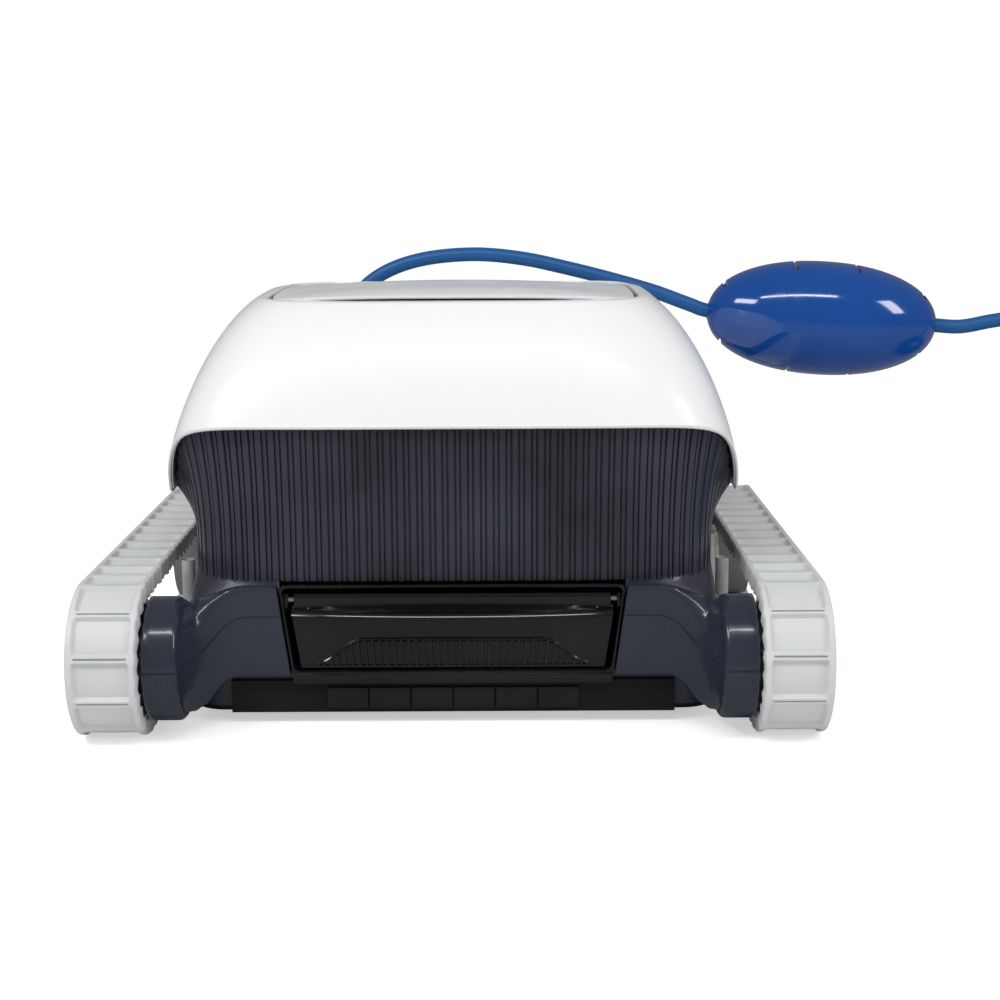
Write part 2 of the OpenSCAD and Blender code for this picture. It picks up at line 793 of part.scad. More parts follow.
// Half of the egg-shaped float, bored for the cable; s picks the left or right half
module float_half(s) {
    mid = (float_from + float_to) / 2;
    d = unit(float_to - float_from) * s;
    color("royalblue")
    translate(mid) rotate([0, acos(d[2]), atan2(d[1], d[0])])
        rotate_extrude() polygon(concat(
            [for (t = [0:6:90]) [max(cable_d / 2 + 0.2, float_d / 2 * cos(t)), float_l / 2 * sin(t)]],
            [[cable_d / 2 + 0.2, 0]]));
}
module float_left() { float_half(-1); }
module float_right() { float_half(1); }

// ---------------------------------------------------------------- nodes

hood();
upper_hull();
lower_tub();
bottom_plate();
base_screws();
arm_front_left();
arm_front_right();
arm_rear_left();
arm_rear_right();
recess_housing();
drain_flap();
drain_flap_pin();
wiper_flaps();
side_cover_left();
side_cover_right();
track_left();
track_right();
wheel_axles();
axle_screws();
wheel_front_left();
wheel_front_right();
wheel_rear_left();
wheel_rear_right();
bush_front_left();
bush_front_right();
bush_rear_left();
bush_rear_right();
drive_sprocket_left();
drive_sprocket_right();
drive_shaft_left();
drive_shaft_right();
shaft_seals();
motor_housing();
motor_cover();
drive_motors();
control_board();
pump_motor();
impeller();
impeller_shaft();
impeller_ring();
outlet_grille();
inner_deck();
foam_blocks();
filter_frame();
filter_mesh();
intake_flap_left();
intake_flap_right();
intake_flap_pins();
lid();
lid_pin();
brush_core();
brush_blades();
brush_bearings();
cable_gland();
cable();
cable_coil();
cable_plug();
float_left();
float_right();
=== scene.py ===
"""Looks of a tracked pool cleaner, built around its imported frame.

Sizes are in millimetres until a piece is finished.
"""
import json
import math

import bmesh
import bpy
from mathutils import Matrix, Vector


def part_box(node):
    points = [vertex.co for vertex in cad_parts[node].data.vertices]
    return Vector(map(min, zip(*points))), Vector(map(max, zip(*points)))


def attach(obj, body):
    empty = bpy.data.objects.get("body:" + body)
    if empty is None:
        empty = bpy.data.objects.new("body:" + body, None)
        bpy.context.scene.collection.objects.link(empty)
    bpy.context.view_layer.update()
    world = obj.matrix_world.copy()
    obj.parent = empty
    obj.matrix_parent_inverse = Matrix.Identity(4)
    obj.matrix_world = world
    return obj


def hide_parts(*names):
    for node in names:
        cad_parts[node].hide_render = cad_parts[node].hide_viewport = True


MM = 0.001
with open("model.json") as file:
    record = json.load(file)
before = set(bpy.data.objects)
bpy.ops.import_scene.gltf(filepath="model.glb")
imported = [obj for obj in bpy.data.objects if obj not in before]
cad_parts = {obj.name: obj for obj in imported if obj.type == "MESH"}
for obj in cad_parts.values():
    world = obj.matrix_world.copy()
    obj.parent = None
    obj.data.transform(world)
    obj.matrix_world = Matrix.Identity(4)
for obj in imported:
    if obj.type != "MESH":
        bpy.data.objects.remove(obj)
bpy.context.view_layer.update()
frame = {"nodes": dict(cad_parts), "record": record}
SLOTS = {s["node"]: s["material_slot"] for s in frame["record"]["subparts"]}
COLOURS = {m["slot"]: tuple(m["base_color"][:3]) + (1.0,) for m in frame["record"]["materials"]}
BODY_OF = {n: b for b, nodes in frame["record"]["behaviour"]["bodies"].items() for n in nodes}


def span(node):
    """A node's lowest and highest corner, in millimetres."""
    low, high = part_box(node)
    return Vector(low) / MM, Vector(high) / MM


# ------------------------------------------------------------------ camera and light

def aim_camera():
    data = bpy.data.cameras.new("camera")
    data.lens = 63
    data.sensor_width = 36
    cam = bpy.data.objects.new("camera", data)
    bpy.context.collection.objects.link(cam)
    tilt = Matrix.Rotation(math.radians(79.2), 4, "X") @ Matrix.Rotation(math.radians(-0.27), 4, "Z")
    cam.matrix_world = Matrix.Translation((0.0262, -1.0535, 0.3013)) @ tilt
    bpy.context.scene.camera = cam


aim_camera()

# ------------------------------------------------------------------ shader groups


def new_group(name, inputs, outputs):
    group = bpy.data.node_groups.new(name, "ShaderNodeTree")
    for label, kind, value in inputs:
        sock = group.interface.new_socket(label, in_out="INPUT", socket_type=kind)
        if value is not None:
            sock.default_value = value
    for label, kind in outputs:
        group.interface.new_socket(label, in_out="OUTPUT", socket_type=kind)
    return group, group.nodes.new("NodeGroupInput"), group.nodes.new("NodeGroupOutput")


def noise_node(nodes, detail=4.0, roughness=0.55):
    tex = nodes.new("ShaderNodeTexNoise")
    tex.inputs["Detail"].default_value = detail
    tex.inputs["Roughness"].default_value = roughness
    return tex


def map_node(nodes, low, high, to_low=0.0, to_high=1.0):
    ramp = nodes.new("ShaderNodeMapRange")
    ramp.inputs["From Min"].default_value = low
    ramp.inputs["From Max"].default_value = high
    ramp.inputs["To Min"].default_value = to_low
    ramp.inputs["To Max"].default_value = to_high
    return ramp


def moulded_group():
    """Moulded plastic: slight colour drift, handling smudges in the gloss, and a fine skin texture."""
    group, gin, gout = new_group(
        "moulded skin",
        [("Vector", "NodeSocketVector", None), ("Color", "NodeSocketColor", None),
         ("Roughness", "NodeSocketFloat", 0.3), ("Smudge", "NodeSocketFloat", 0.1),
         ("Drift", "NodeSocketFloat", 0.1), ("Grain", "NodeSocketFloat", 0.1),
         ("Grain Scale", "NodeSocketFloat", 1500.0)],
        [("Color", "NodeSocketColor"), ("Roughness", "NodeSocketFloat"), ("Normal", "NodeSocketVector")])
    n, link = group.nodes, group.links.new
    drift = noise_node(n, 3.0)
    drift.inputs["Scale"].default_value = 14.0
    link(gin.outputs["Vector"], drift.inputs["Vector"])
    centred = map_node(n, 0.3, 0.7, -1.0, 1.0)
    link(drift.outputs["Fac"], centred.inputs["Value"])
    amount = n.new("ShaderNodeMath")
    amount.operation = "MULTIPLY_ADD"
    amount.inputs[2].default_value = 1.0
    link(centred.outputs["Result"], amount.inputs[0])
    link(gin.outputs["Drift"], amount.inputs[1])
    tint = n.new("ShaderNodeVectorMath")
    tint.operation = "SCALE"
    link(gin.outputs["Color"], tint.inputs[0])
    link(amount.outputs[0], tint.inputs["Scale"])
    link(tint.outputs[0], gout.inputs["Color"])
    smudge = noise_node(n, 6.0, 0.65)
    smudge.inputs["Scale"].default_value = 38.0
    smudge.inputs["Distortion"].default_value = 0.6
    link(gin.outputs["Vector"], smudge.inputs["Vector"])
    patches = map_node(n, 0.48, 0.68)
    link(smudge.outputs["Fac"], patches.inputs["Value"])
    rough = n.new("ShaderNodeMath")
    rough.operation = "MULTIPLY_ADD"
    link(patches.outputs["Result"], rough.inputs[0])
    link(gin.outputs["Smudge"], rough.inputs[1])
    link(gin.outputs["Roughness"], rough.inputs[2])
    link(rough.outputs[0], gout.inputs["Roughness"])
    skin = noise_node(n, 2.0)
    link(gin.outputs["Vector"], skin.inputs["Vector"])
    link(gin.outputs["Grain Scale"], skin.inputs["Scale"])
    bump = n.new("ShaderNodeBump")
    bump.inputs["Distance"].default_value = 0.0002
    link(gin.outputs["Grain"], bump.inputs["Strength"])
    link(skin.outputs["Fac"], bump.inputs["Height"])
    link(bump.outputs["Normal"], gout.inputs["Normal"])
    return group


def wear_group():
    """Scuffs and settled dust: a mask of fine scratches and specks, for lighter worn patches."""
    group, gin, gout = new_group(
        "scuffs",
        [("Vector", "NodeSocketVector", None), ("Amount", "NodeSocketFloat", 0.5),
         ("Scale", "NodeSocketFloat", 60.0)],
        [("Mask", "NodeSocketFloat")])
    n, link = group.nodes, group.links.new
    streak = n.new("ShaderNodeMapping")
    streak.inputs["Rotation"].default_value = (0.3, 0.5, 0.7)
    streak.inputs["Scale"].default_value = (1.0, 14.0, 3.0)
    link(gin.outputs["Vector"], streak.inputs["Vector"])
    lines = noise_node(n, 5.0, 0.7)
    link(streak.outputs["Vector"], lines.inputs["Vector"])
    link(gin.outputs["Scale"], lines.inputs["Scale"])
    cut = map_node(n, 0.62, 0.72)
    link(lines.outputs["Fac"], cut.inputs["Value"])
    area = noise_node(n, 3.0)
    area.inputs["Scale"].default_value = 20.0
    link(gin.outputs["Vector"], area.inputs["Vector"])
    where = map_node(n, 0.5, 0.65)
    link(area.outputs["Fac"], where.inputs["Value"])
    both = n.new("ShaderNodeMath")
    both.operation = "MULTIPLY"
    link(cut.outputs["Result"], both.inputs[0])
    link(where.outputs["Result"], both.inputs[1])
    scaled = n.new("ShaderNodeMath")
    scaled.operation = "MULTIPLY"
    link(both.outputs[0], scaled.inputs[0])
    link(gin.outputs["Amount"], scaled.inputs[1])
    link(scaled.outputs[0], gout.inputs["Mask"])
    return group


MOULDED = moulded_group()
SCUFFS = wear_group()


def new_material(name):
    mat = bpy.data.materials.new(name)
    mat.use_nodes = True
    nodes = mat.node_tree.nodes
    shader = nodes["Principled BSDF"]
    coords = nodes.new("ShaderNodeTexCoord")
    return mat, nodes, mat.node_tree.links.new, shader, coords.outputs["Object"]


def place(nodes, group, **values):
    node = nodes.new("ShaderNodeGroup")
    node.node_tree = group
    for label, value in values.items():
        node.inputs[label.replace("_", " ")].default_value = value
    return node


def plastic(name, colour, rough=0.3, smudge=0.1, drift=0.06, grain=0.1, grain_scale=1500.0,
            coat=0.0, scuff=0.15, scuff_scale=60.0, lift=0.25, specular=0.5):
    """Moulded plastic or rubber with smudges, a fine skin and light scuffs."""
    mat, nodes, link, shader, where = new_material(name)
    skin = place(nodes, MOULDED, Color=colour, Roughness=rough, Smudge=smudge, Drift=drift,
                 Grain=grain, Grain_Scale=grain_scale)
    link(where, skin.inputs["Vector"])
    marks = place(nodes, SCUFFS, Amount=scuff, Scale=scuff_scale)
    link(where, marks.inputs["Vector"])
    worn = nodes.new("ShaderNodeMix")
    worn.data_type = "RGBA"
    worn.inputs["B"].default_value = tuple(min(1.0, c + lift) for c in colour[:3]) + (1.0,)
    link(skin.outputs["Color"], worn.inputs["A"])
    link(marks.outputs["Mask"], worn.inputs["Factor"])
    link(worn.outputs["Result"], shader.inputs["Base Color"])
    dull = nodes.new("ShaderNodeMath")
    dull.operation = "MULTIPLY_ADD"
    dull.inputs[1].default_value = 0.25
    link(marks.outputs["Mask"], dull.inputs[0])
    link(skin.outputs["Roughness"], dull.inputs[2])
    link(dull.outputs[0], shader.inputs["Roughness"])
    link(skin.outputs["Normal"], shader.inputs["Normal"])
    shader.inputs["Coat Weight"].default_value = coat
    shader.inputs["Coat Roughness"].default_value = 0.04
    shader.inputs["Specular IOR Level"].default_value = specular
    return mat


def metal(name, colour, rough=0.3, brushed=(1.0, 60.0, 60.0)):
    """Turned or brushed metal, with streaks round or along the piece."""
    mat, nodes, link, shader, where = new_material(name)
    turn = nodes.new("ShaderNodeMapping")
    turn.inputs["Scale"].default_value = brushed
    link(where, turn.inputs["Vector"])
    streaks = noise_node(nodes, 5.0, 0.7)
    streaks.inputs["Scale"].default_value = 40.0
    link(turn.outputs["Vector"], streaks.inputs["Vector"])
    spread = map_node(nodes, 0.3, 0.7, rough * 0.7, rough * 1.4)
    link(streaks.outputs["Fac"], spread.inputs["Value"])
    link(spread.outputs["Result"], shader.inputs["Roughness"])
    bump = nodes.new("ShaderNodeBump")
    bump.inputs["Strength"].default_value = 0.15
    bump.inputs["Distance"].default_value = 0.0002
    link(streaks.outputs["Fac"], bump.inputs["Height"])
    link(bump.outputs["Normal"], shader.inputs["Normal"])
    shader.inputs["Base Color"].default_value = colour
    shader.inputs["Metallic"].default_value = 1.0
    return mat


def screen_cloth(name, colour, threads=2200.0):
    """Fine woven screen: two crossed sets of threads, with painted shade in the dips between them."""
    mat, nodes, link, shader, where = new_material(name)
    split = nodes.new("ShaderNodeSeparateXYZ")
    link(where, split.inputs[0])
    flat = nodes.new("ShaderNodeMath")
    flat.operation = "ADD"
    link(split.outputs["X"], flat.inputs[0])
    link(split.outputs["Y"], flat.inputs[1])
    waves = []
    for source in (flat.outputs[0], split.outputs["Z"]):
        turn = nodes.new("ShaderNodeMath")
        turn.operation = "MULTIPLY"
        turn.inputs[1].default_value = threads
        wave = nodes.new("ShaderNodeMath")
        wave.operation = "SINE"
        link(source, turn.inputs[0])
        link(turn.outputs[0], wave.inputs[0])
        waves.append(wave.outputs[0])
    top = nodes.new("ShaderNodeMath")
    top.operation = "MAXIMUM"
    link(waves[0], top.inputs[0])
    link(waves[1], top.inputs[1])
    # Painted shade: the threads' colour darkens to about a third in the dips between them, where the weave
    # lies in shade.
    shade = map_node(nodes, -1.0, 1.0, 0.35, 1.0)
    link(top.outputs[0], shade.inputs["Value"])
    tint = nodes.new("ShaderNodeVectorMath")
    tint.operation = "SCALE"
    tint.inputs[0].default_value = colour[:3]
    link(shade.outputs["Result"], tint.inputs["Scale"])
    link(tint.outputs[0], shader.inputs["Base Color"])
    bump = nodes.new("ShaderNodeBump")
    bump.inputs["Strength"].default_value = 0.6
    bump.inputs["Distance"].default_value = 0.0004
    link(top.outputs[0], bump.inputs["Height"])
    link(bump.outputs["Normal"], shader.inputs["Normal"])
    shader.inputs["Roughness"].default_value = 0.7
    return mat


def deeper(slot, red, green=None, blue=None):
    """The frame's colour for a slot, scaled."""
    by = (red, green or red, blue or red)
    return tuple(min(1.0, c * k) for c, k in zip(COLOURS[slot], by)) + (1.0,)


MATERIALS = {
    "hood_white": plastic("hood white", COLOURS["hood_white"], 0.32, 0.06, 0.012, 0.03, 900.0, 0.35, 0.03,
                          lift=-0.1),
    "slate_gloss": plastic("slate gloss", deeper("slate_gloss", 0.42, 0.46, 0.55), 0.2, 0.16, 0.12, 0.05,
                           1200.0, 0.4, 0.12, lift=0.05),
    "slate_grille": plastic("slate grille", deeper("slate_grille", 0.46, 0.46, 0.55), 0.3, 0.2, 0.4, 0.08,
                            1200.0, 0.1, 0.1, lift=0.03),
    "black_gloss": plastic("black gloss", deeper("black_gloss", 0.5), 0.1, 0.16, 0.4, 0.04, 1200.0, 0.3, 0.1,
                           lift=0.02),
    "black_matte": plastic("black matte", deeper("black_matte", 0.45), 0.5, 0.15, 0.3, 0.3, 2200.0, 0.0, 0.15,
                           lift=0.03, specular=0.3),
    "lid_grey": plastic("lid grey", deeper("lid_grey", 1.75), 0.28, 0.1, 0.03, 0.12, 1800.0, 0.1, 0.06),
    "cover_grey": plastic("cover grey", COLOURS["cover_grey"], 0.42, 0.1, 0.05, 0.2, 1800.0, 0.0, 0.1,
                          lift=0.1),
    "track_grey": plastic("track grey", deeper("track_grey", 0.9), 0.38, 0.15, 0.05, 0.25, 1400.0, 0.0, 0.2,
                          lift=-0.25),
    "wheel_grey": plastic("wheel grey", COLOURS["wheel_grey"], 0.4, 0.1, 0.1, 0.2, 1800.0, 0.0, 0.15),
    "flap_rubber": plastic("flap rubber", deeper("flap_rubber", 0.5), 0.45, 0.15, 0.2, 0.3, 2600.0, 0.0, 0.2,
                           lift=0.06),
    "acetal": plastic("acetal", COLOURS["acetal"], 0.35, 0.08, 0.04, 0.1, 1600.0, 0.0, 0.08, lift=-0.2),
    "motor_case": plastic("motor case", COLOURS["motor_case"], 0.45, 0.12, 0.1, 0.35, 2200.0, 0.0, 0.12),
    "board_green": plastic("board green", COLOURS["board_green"], 0.3, 0.1, 0.2, 0.1, 800.0, 0.2, 0.05),
    "filter_blue": plastic("filter blue", COLOURS["filter_blue"], 0.38, 0.1, 0.08, 0.15, 1600.0, 0.0, 0.12),
    "foam": plastic("foam", COLOURS["foam"], 0.85, 0.05, 0.06, 0.9, 700.0, 0.0, 0.0),
    "brush_rubber": plastic("brush rubber", COLOURS["brush_rubber"], 0.5, 0.12, 0.12, 0.35, 1800.0, 0.0, 0.2,
                            lift=0.1),
    "cable_blue": plastic("cable blue", deeper("cable_blue", 0.2, 0.85, 0.85), 0.4, 0.12, 0.08, 0.2,
                          1600.0, 0.0, 0.12, lift=0.12),
    "float_blue": plastic("float blue", deeper("float_blue", 0.1, 0.82, 0.95), 0.12, 0.1, 0.08, 0.02,
                          1000.0, 0.8, 0.06, lift=0.12),
    "stainless": metal("stainless", COLOURS["stainless"], 0.28),
    "motor_alloy": metal("motor alloy", COLOURS["motor_alloy"], 0.45, (20.0, 20.0, 20.0)),
    "filter_screen": screen_cloth("filter screen", COLOURS["filter_screen"]),
}

# ------------------------------------------------------------------ making pieces


def finish_piece(bm, name, *nodes, slot=None, sharp=35, recalc=True):
    """Turns a bmesh in millimetres into a piece that stands for its nodes."""
    if recalc:
        bmesh.ops.recalc_face_normals(bm, faces=bm.faces[:])
    bmesh.ops.scale(bm, vec=(MM, MM, MM), verts=bm.verts[:])
    mesh = bpy.data.meshes.new(name)
    bm.to_mesh(mesh)
    bm.free()
    mesh.shade_smooth()
    mesh.set_sharp_from_angle(angle=math.radians(sharp))
    piece = bpy.data.objects.new(name, mesh)
    bpy.context.collection.objects.link(piece)
    finish = slot or SLOTS[nodes[0]]
    mesh.materials.append(MATERIALS[finish])
    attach(piece, BODY_OF[nodes[0]])
    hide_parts(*nodes)
    return piece


def thicken(piece, wall, offset=-1.0, even=False):
    mod = piece.modifiers.new("wall", "SOLIDIFY")
    mod.thickness = wall * MM
    mod.offset = offset
    mod.use_even_offset = even


def soften(piece, width, segments=2, angle=40):
    mod = piece.modifiers.new("edges", "BEVEL")
    mod.width = width * MM
    mod.segments = segments
    mod.limit_method = "ANGLE"
    mod.angle_limit = math.radians(angle)
    mod.harden_normals = False


def grid_surface(bm, point, nu, nv, closed=True):
    """A sheet of nu by nv faces; each corner goes where point(u, v) says, for u and v from 0 to 1."""
    made = bmesh.ops.create_grid(bm, x_segments=nu, y_segments=nv, size=0.5)["verts"]
    for v in made:
        v.co = point(v.co.x + 0.5, v.co.y + 0.5)
    if closed:
        bmesh.ops.remove_doubles(bm, verts=made, dist=1e-4)


def add_barrel(bm, radius, length, middle):
    """A closed cylinder that lies across the machine."""
    made = bmesh.ops.create_cone(bm, cap_ends=True, segments=32, radius1=radius, radius2=radius,
                                 depth=length)["verts"]
    bmesh.ops.rotate(bm, verts=made, cent=(0, 0, 0), matrix=Matrix.Rotation(math.pi / 2, 3, "Y"))
    bmesh.ops.translate(bm, verts=made, vec=middle)


def block(bm, low, high, edge=0.6, segments=2):
    """A box between two corners with rounded edges."""
    low, high = Vector(low), Vector(high)
    made = bmesh.ops.create_cube(bm, size=1.0)["verts"]
    bmesh.ops.scale(bm, vec=high - low, verts=made)
    bmesh.ops.translate(bm, vec=(low + high) / 2, verts=made)
    if edge:
        edges = list({e for v in made for e in v.link_edges})
        bmesh.ops.bevel(bm, geom=edges, offset=edge, segments=segments, profile=0.5,
                        affect="EDGES", material=-1)


def oval_r(a, b, n, t):
    """Radius of a squared-off oval of half sizes a and b, at the angle t."""
    return ((abs(math.cos(t)) / a) ** n + (abs(math.sin(t)) / b) ** n) ** (-1.0 / n)


def smooth(t):
    """Eases from 0 to 1."""
    t = min(1.0, max(0.0, t))
    return t * t * (3 - 2 * t)


# ------------------------------------------------------------------ casing shape

TUB_HIGH = span("lower_tub")[1]
TUB_X, TUB_Y = TUB_HIGH.x, TUB_HIGH.y
PART_Z = TUB_HIGH.z
HOOD_X, HOOD_Y = 161.5, 135.5      # half sizes of the hood at its rim
RIM_LOW, RIM_HIGH = 121.1, 163.9   # rim's height over the tracks and at the ends
HOOD_TOP = 228.0
ROOF_X, ROOF_Y = 105.4, 83.5       # half sizes of the roof's edge round the lid
ARCH_Y = 77.7                      # the rim starts to rise this far from the middle
RIM_END_Y = 128.0                  # and is level again from here
RIM_LINE_Y = 130.0                 # half length of the outline that the rim's height follows
NARROW_Z = (128.0, 231.0)          # the hood draws in between these heights
FLARE_Z, FLARE_X, FLARE_Y = 92.0, 157.3, 124.6     # the hull opens out above this, to these half sizes


def rim_z(y):
    """Height of the hood's rim: level over the tracks, rising towards both ends."""
    s = min(1.0, max(0.0, (abs(y) - ARCH_Y) / (RIM_END_Y - ARCH_Y)))
    return RIM_LOW + (RIM_HIGH - RIM_LOW) * (1 - (1 - s) ** 2) ** 0.88


def narrowing(z):
    """Share of the hood's spread over its roof that is left at a height."""
    u = min(0.999, max(0.0, (z - NARROW_Z[0]) / (NARROW_Z[1] - NARROW_Z[0])))
    return (1 - u ** 1.6) ** 0.625


def rim_of(t):
    """Height of the hood's rim at the angle t."""
    return rim_z(oval_r(HOOD_X, RIM_LINE_Y, 4.5, t) * math.sin(t))


def hood_point(t, k, inset=0.0):
    """A point of the hood: t goes round, k goes from the rim at 0 to the roof's edge at 1."""
    z0 = rim_of(t)
    z = z0 + (HOOD_TOP - z0) * k
    a = ROOF_X + (HOOD_X - ROOF_X) * narrowing(z) - inset
    b = ROOF_Y + (HOOD_Y - ROOF_Y) * narrowing(z) - inset
    r = oval_r(a, b, 6.7 - 2.6 * k, t)
    return Vector((r * math.cos(t), r * math.sin(t), z))


def even_angles(radius, count):
    """Angles at equal steps of length along an outline."""
    fine = 3600
    pts = [Vector((radius(t) * math.cos(t), radius(t) * math.sin(t)))
           for t in (math.tau * i / fine for i in range(fine + 1))]
    run = [0.0]
    for a, b in zip(pts, pts[1:]):
        run.append(run[-1] + (b - a).length)
    angles, i = [], 0
    for k in range(count + 1):
        goal = run[-1] * k / count
        while i < fine - 1 and run[i + 1] < goal:
            i += 1
        part = (goal - run[i]) / max(1e-9, run[i + 1] - run[i])
        angles.append(math.tau * (i + part) / fine)
    return angles, run[-1]


def make_hood():
    """Glossy cover: one skin from its beaded rim to the edge round the lid."""
    count = 288
    angles, _ = even_angles(lambda t: oval_r(HOOD_X, HOOD_Y, 6, t), count)
    steps = [0.0, 0.022, 0.032, 0.045] + [0.06 + 0.9 * i / 26 for i in range(27)] + [0.975, 0.99, 1.0]
    bead = [(1.5, -0.6), (0.6, -0.3), (0.1, 0.3), (0.0, 1.2)]   # inset and lift of the rounded rim

    def point(u, v):
        t = angles[round(u * count)]
        row = round(v * (rows - 1))
        if row < len(bead):
            inset, lift = bead[row]
            return hood_point(t, 0.0, inset) + Vector((0, 0, lift))
        if row < len(bead) + len(steps) - 1:
            return hood_point(t, steps[row - len(bead) + 1])
        edge = row - len(bead) - len(steps) + 1
        r = oval_r(107.5, 83.5, 7 if math.sin(t) > 0 else 5.5, t) - 0.5 * edge
        return Vector((r * math.cos(t), r * math.sin(t), HOOD_TOP + (0.55, 0.3, -2.5)[edge]))

    rows = len(bead) + len(steps) - 1 + 3
    bm = bmesh.new()
    grid_surface(bm, point, count, rows - 1)
    piece = finish_piece(bm, "hood_shell", "hood", sharp=50)
    thicken(piece, 2.4)
    return piece


make_hood()

SLOT_PITCH = 6.9
SLOT_HALF = 1.6
SLOT_DEPTH = 1.7
SLOT_FOOT = 79.4
RECESS_Z = (28.5, 79.0)
RECESS_X = (88.0, 94.9)         # half width at its bottom and at its top
FRONT_Y = -100.0                # walls further forward than this belong to the front


def hull_radius(t, z, top):
    """Square-cornered where it meets the tub, opening out behind the arms and then like a trumpet."""
    f = max(0.0, (z - FLARE_Z) / (top - FLARE_Z)) ** 2.2
    square = 12 - 6.2 * smooth((z - PART_Z) / 18)
    return oval_r(TUB_X + (FLARE_X - TUB_X) * f, TUB_Y + (FLARE_Y - TUB_Y) * f, square, t)


def make_upper_hull():
    """Hull with upright slots that follow its flare out over the tracks."""

    def base(t):
        return oval_r(TUB_X, TUB_Y, 5.8, t)

    _, girth = even_angles(base, 8)
    slots = 2 * round(girth / SLOT_PITCH / 2)
    pitch = girth / slots
    marks = [-1.95, -1.65, -1.15, -0.85, 0.85, 1.15, 1.65, 1.95, pitch / 2 + 0.01]
    depths = [0.0, SLOT_DEPTH, SLOT_DEPTH, 0.5, 0.5, SLOT_DEPTH, SLOT_DEPTH, 0.0, 0.0]
    fine = 40
    angles, _ = even_angles(base, slots * fine)
    heights = [PART_Z, 65.0, 68.0, 71.0, 74.0, 76.5]
    heights += [SLOT_FOOT - 1.6 + 0.4 * i for i in range(9)]
    heights += [84.0, 88.0]
    flare = [i / 18 for i in range(19)]
    rows = len(heights) + len(flare)

    def point(u, v):
        column = round(u * slots * len(marks))
        slot, mark = divmod(column, len(marks))
        row = round(v * (rows - 1))
        z_slot = heights[row] if row < len(heights) else 100.0
        reach = max(0.06, min(1.0, 1 - max(0.0, (SLOT_FOOT - z_slot) / SLOT_HALF) ** 2)) ** 0.5
        open_slot = z_slot > SLOT_FOOT - SLOT_HALF
        shift = marks[mark] * (reach if mark < 8 else 1.0)
        along = (slot + 0.5) * fine + shift / pitch * fine
        i = int(math.floor(along))
        part = along - i
        n = slots * fine
        t0, t1 = angles[i % n], angles[i % n + 1]
        t = t0 + (t1 - t0) * part
        top = rim_of(t) + 3.0
        if row < len(heights):
            z = heights[row]
        else:
            z = FLARE_Z + (top - FLARE_Z) * flare[row - len(heights)]
        r = hull_radius(t, z, top - 2.2)
        p = Vector((r * math.cos(t), r * math.sin(t), z))
        if depths[mark] and open_slot:
            near, far = (hull_radius(t + d, z, top - 2.2) * Vector((math.cos(t + d), math.sin(t + d), 0))
                         for d in (-1e-3, 1e-3))
            along_wall = (far - near).normalized()
            p += Vector((-along_wall.y, along_wall.x, 0)) * depths[mark]
        return p

    bm = bmesh.new()
    grid_surface(bm, point, slots * len(marks), rows - 1)
    cut_recess(bm)
    piece = finish_piece(bm, "ribbed_hull", "upper_hull", sharp=28)
    thicken(piece, 1.6)
    return piece


def cut_recess(bm):
    """Opens the front wall where the recess goes in."""
    lean = (RECESS_X[1] - RECESS_X[0]) / (RECESS_Z[1] - RECESS_Z[0])
    planes = [((0, 0, RECESS_Z[1]), (0, 0, 1)), ((0, 0, RECESS_Z[0]), (0, 0, -1))]
    planes += [((side * RECESS_X[1], 0, RECESS_Z[1]), (side, 0, -lean)) for side in (1, -1)]
    for co, no in planes:
        near = [f for f in bm.faces if f.calc_center_median().y < FRONT_Y]
        geom = near + list({e for f in near for e in f.edges}) + list({v for f in near for v in f.verts})
        bmesh.ops.bisect_plane(bm, geom=geom, plane_co=co, plane_no=no, dist=1e-5)
    inside = []
    for f in bm.faces:
        c = f.calc_center_median()
        half = RECESS_X[1] - (RECESS_Z[1] - c.z) * lean
        if c.y < FRONT_Y and RECESS_Z[0] < c.z < RECESS_Z[1] and abs(c.x) < half:
            inside.append(f)
    bmesh.ops.delete(bm, geom=inside, context="FACES")


make_upper_hull()

# ------------------------------------------------------------------ arms

ARM_Y, ARM_Z = 140.0, 41.5
PANEL_Y, PANEL_Z = 134.0, (28.0, 78.5)
NECK_X = (112.0, 143.0)
NECK_R, DRUM_R, DRUM_X = 30.0, 34.0, 162.0
LINE_V = 0.6
ARM_VS = [0, .015, .04, .08, .14, .22, .32, .43, .53, .575, .592, .597, .603, .608, .64, .71, .79, .86, .91,
          .95, .975, .99, 1]


def arm_station(x):
    """Section of the arm at x from the machine's middle.

    Gives its front, back, top and bottom, its squareness and where its parting line runs.
    """
    u = min(1.0, max(0.0, (x - NECK_X[0]) / (NECK_X[1] - NECK_X[0])))
    scoop = 0.5 * (1 - math.sqrt(max(0.0, 1 - u * u))) + 0.5 * u ** 2.2
    grow = 0.0
    if x > NECK_X[1]:
        v = min(1.0, (x - NECK_X[1]) / (DRUM_R - NECK_R))
        grow = (DRUM_R - NECK_R) * math.sqrt(1 - (1 - v) ** 2)
    if x > DRUM_X - 1.5:
        grow -= 1.5 * (1 - math.sqrt(max(0.0, 1 - ((x - DRUM_X + 1.5) / 1.5) ** 2)))
    front = PANEL_Y + (ARM_Y + NECK_R - PANEL_Y) * scoop + grow
    back = 124.4 - 12.2 * smooth(u)
    if x > 149:
        back = ARM_Y - DRUM_R
    top = PANEL_Z[1] + (ARM_Z + NECK_R - PANEL_Z[1]) * smooth(u) + grow
    low = PANEL_Z[0] + (ARM_Z - NECK_R - PANEL_Z[0]) * smooth((u - 0.22) / 0.62) - grow
    return front, back, top, low, 2 + 10 * (1 - smooth(u / 0.85)), 0.673 - 0.17 * smooth(u)


